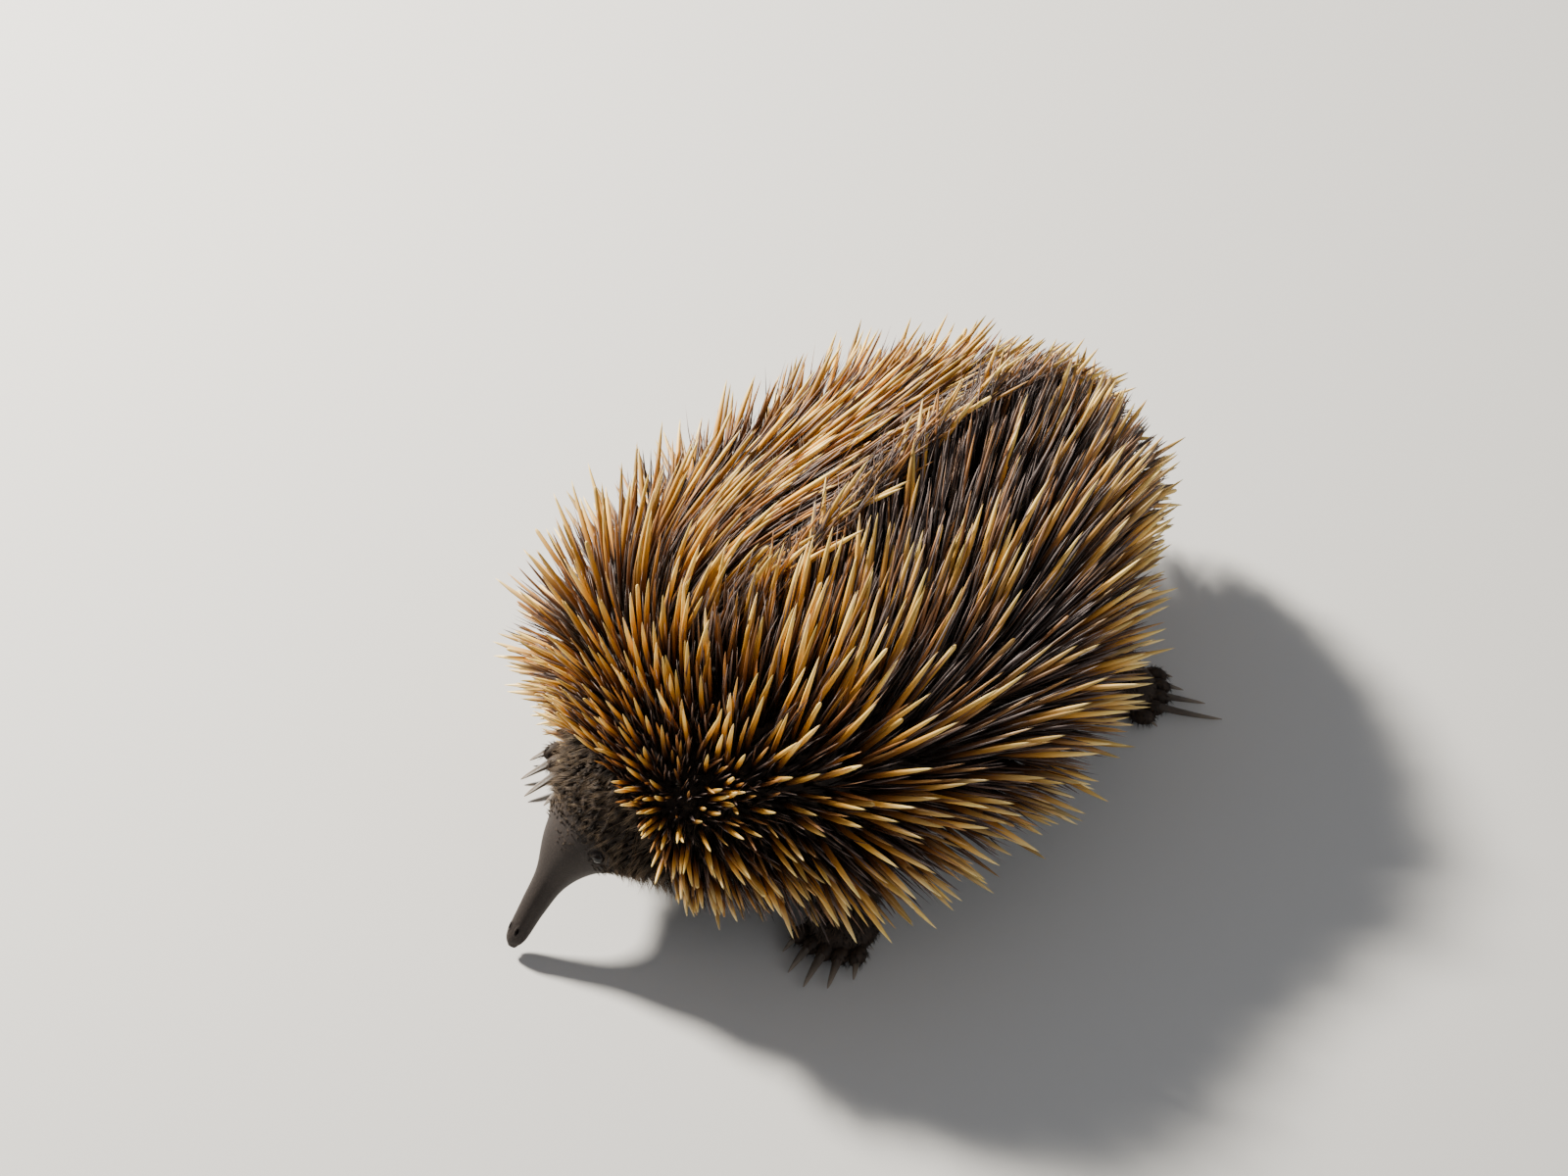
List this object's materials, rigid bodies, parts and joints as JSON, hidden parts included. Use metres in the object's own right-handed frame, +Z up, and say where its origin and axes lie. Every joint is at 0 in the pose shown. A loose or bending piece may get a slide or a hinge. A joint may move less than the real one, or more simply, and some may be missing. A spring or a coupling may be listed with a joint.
{
  "type": "short-beaked echidna model",
  "caption": "Life-size still model of a short-beaked echidna standing with its beak lowered to the ground, its back and flanks covered in long spines.",
  "frame": {"origin": "centre of the footprint of the whole animal's box, on the floor it stands on", "axes": "+Z up, +Y towards the tail along the body, +X towards the animal's left side"},
  "size_m": [0.2692, 0.3812, 0.1642],
  "materials": {
    "spines": "horn-like spines, dark brown at the root, golden to orange-brown along the shaft, cream at the tip",
    "fur": "coarse dark brown hair, greyer on the face",
    "bare_skin": "dark grey bare skin, finely wrinkled, slightly moist at the nostrils",
    "eye": "dark brown, wet and glossy",
    "claw": "grey-brown horn, worn paler and matt at the tip"
  },
  "bodies": {
    "root": {"beak": "bare_skin", "head": "fur", "eye_left": "eye", "eye_right": "eye", "neck": "spines", "torso_front": "spines", "torso_rear": "spines", "tail": "spines", "front_leg_left": "fur", "front_foot_left": "fur", "front_claw_left_1": "claw", "front_claw_left_2": "claw", "front_claw_left_3": "claw", "front_claw_left_4": "claw", "front_claw_left_5": "claw", "front_leg_right": "fur", "front_foot_right": "fur", "front_claw_right_1": "claw", "front_claw_right_2": "claw", "front_claw_right_3": "claw", "front_claw_right_4": "claw", "front_claw_right_5": "claw", "hind_leg_left": "fur", "hind_foot_left": "fur", "hind_claw_left_1": "claw", "hind_claw_left_2": "claw", "hind_claw_left_3": "claw", "hind_claw_left_4": "claw", "hind_claw_left_5": "claw", "hind_leg_right": "fur", "hind_foot_right": "fur", "hind_claw_right_1": "claw", "hind_claw_right_2": "claw", "hind_claw_right_3": "claw", "hind_claw_right_4": "claw", "hind_claw_right_5": "claw"}
  },
  "joints": []
}
